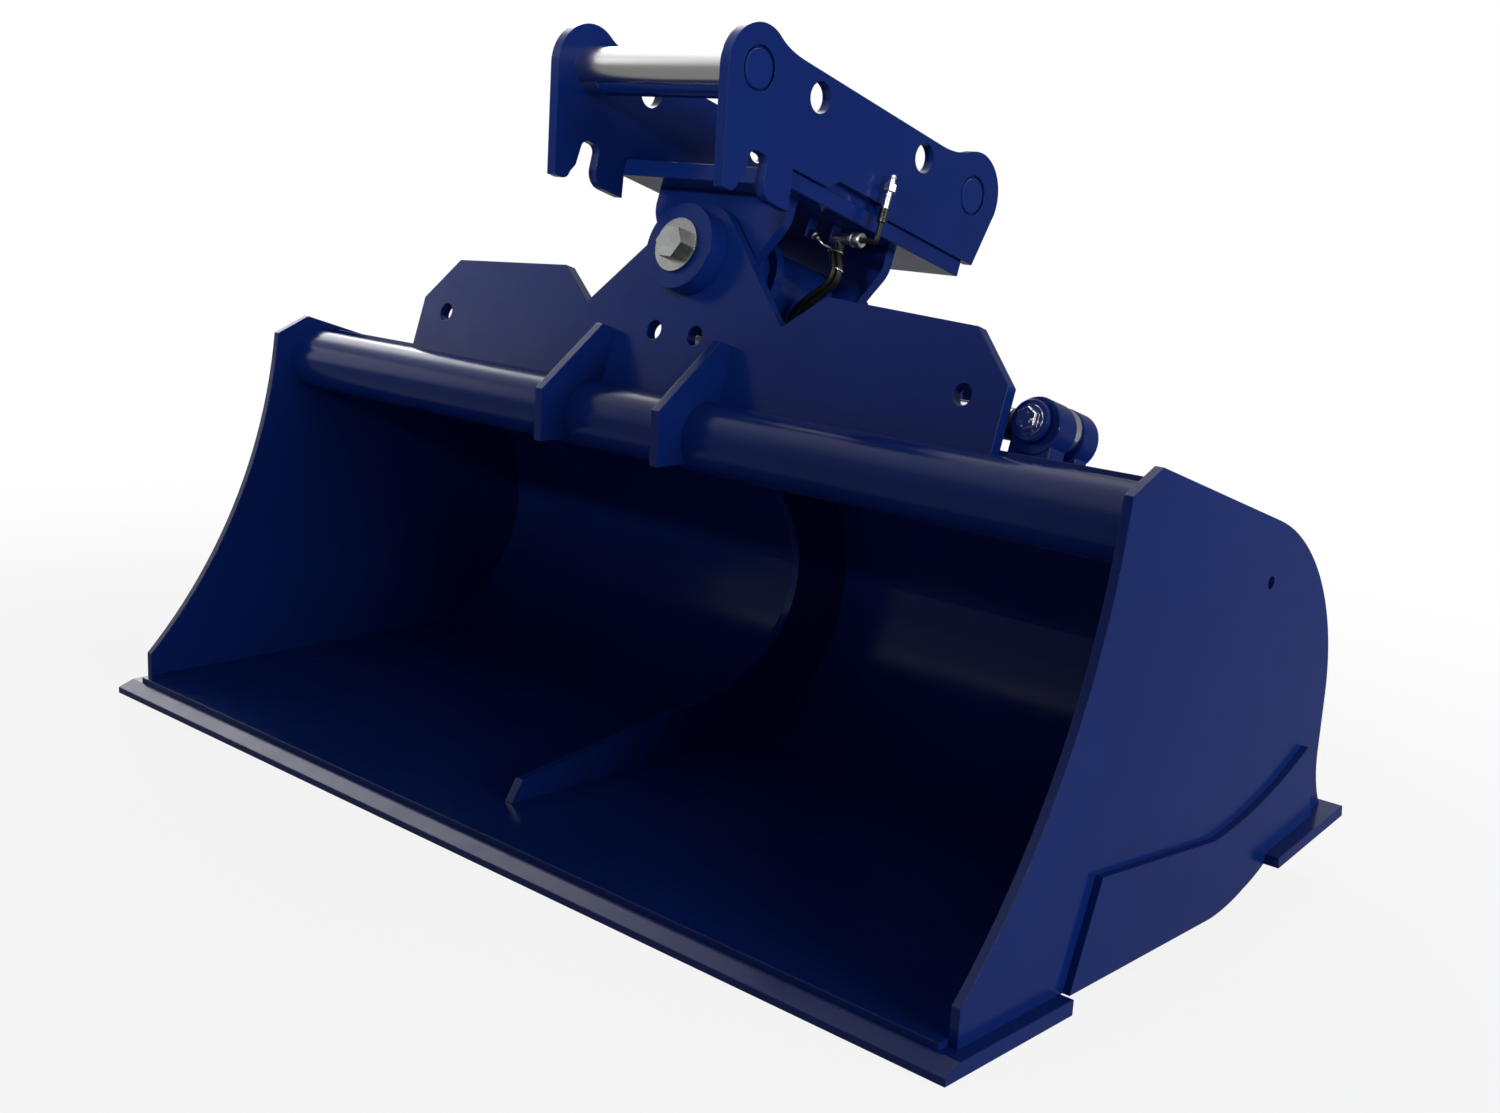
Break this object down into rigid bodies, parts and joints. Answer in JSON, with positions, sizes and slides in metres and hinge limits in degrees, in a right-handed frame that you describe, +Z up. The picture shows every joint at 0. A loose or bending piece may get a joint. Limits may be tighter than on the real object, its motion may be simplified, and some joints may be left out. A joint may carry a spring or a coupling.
{
  "type": "tilt ditching bucket",
  "caption": "Wide shallow ditching bucket for an excavator, with a pin-on hitch that tilts from side to side on one pivot, driven by a hydraulic cylinder.",
  "frame": {"origin": "middle of the cutting edge's front, on the ground", "axes": "+X along the bucket's width, to the side that carries the rod bracket; +Y from the mouth to the back; +Z up"},
  "size_m": [1.448, 0.7724, 0.9156],
  "materials": {
    "blue_paint": "very glossy deep blue paint",
    "bright_steel": "bright plated or turned steel",
    "chrome": "hard chrome",
    "bush_bronze": "plain bearing bronze",
    "black_rubber": "smooth black hose cover",
    "seal_rubber": "dark seal rubber",
    "black_steel": "satin black"
  },
  "bodies": {
    "root": {"cutting_edge": "blue_paint", "shell_plate": "blue_paint", "side_plate_left": "blue_paint", "side_plate_right": "blue_paint", "side_wear_plate_left": "blue_paint", "side_wear_plate_right": "blue_paint", "torsion_tube": "blue_paint", "heel_blade": "blue_paint", "skid_bars": "blue_paint", "centre_rib": "blue_paint", "tube_gusset_left": "blue_paint", "tube_gusset_right": "blue_paint", "frame_front_plate": "blue_paint", "frame_rear_plate": "blue_paint", "pivot_collar_front": "blue_paint", "pivot_collar_rear": "blue_paint", "pivot_pin": "bright_steel", "pivot_washers": "bright_steel", "pivot_bolts": "bright_steel", "thrust_washers": "bright_steel", "rod_bracket_front": "blue_paint", "rod_bracket_rear": "blue_paint", "rod_pin": "bright_steel", "rod_pin_collar": "blue_paint", "cylinder_rod": "chrome", "rod_eye_bush": "bush_bronze", "piston": "bright_steel", "piston_seal": "seal_rubber", "junction_block": "blue_paint", "junction_unions": "bright_steel", "cylinder_hose_near": "black_rubber", "cylinder_hose_far": "black_rubber", "hitch_hose_front": "black_rubber", "hitch_hose_rear": "black_rubber"},
    "cylinder": {"cylinder_barrel": "blue_paint", "cylinder_link": "blue_paint", "cylinder_gland": "blue_paint", "gland_wiper": "seal_rubber", "barrel_fittings": "bright_steel"},
    "hitch": {"hitch_cheek_left": "blue_paint", "hitch_cheek_right": "blue_paint", "hitch_base_plate": "blue_paint", "front_hitch_pin": "bright_steel", "rear_hitch_pin": "bright_steel", "pin_saddle": "blue_paint", "pin_saddle_ends": "bright_steel", "hitch_lug_front": "blue_paint", "hitch_lug_rear": "blue_paint", "pivot_hub": "blue_paint", "hub_bush_front": "bush_bronze", "hub_bush_rear": "bush_bronze", "lever_plate_front": "blue_paint", "lever_plate_rear": "blue_paint", "lever_pin": "bright_steel", "hose_sleeve": "bright_steel", "second_union": "bright_steel", "union_clips": "blue_paint", "hose_elbow": "black_rubber", "coupling_ferrule": "black_steel", "hose_coupling": "bright_steel"}
  },
  "joints": [
    {"name": "tilt", "type": "hinge", "parent": "root", "child": "hitch", "pos_m": [0, 0.3727, 0.656], "axis": [0, 0.9537, -0.3007], "range_deg": [-45, 45], "deforming": ["hitch_hose_front", "hitch_hose_rear"]},
    {"name": "cylinder_slide", "type": "slide", "parent": "root", "child": "cylinder", "axis": [-1, 0, 0], "range_m": [-0.0813, 0.0813], "deforming": ["cylinder_hose_near", "cylinder_hose_far"]}
  ],
  "couplings": [
    {"joint": "cylinder_slide", "follows": "tilt", "m_per_rad": 0.1023}
  ]
}
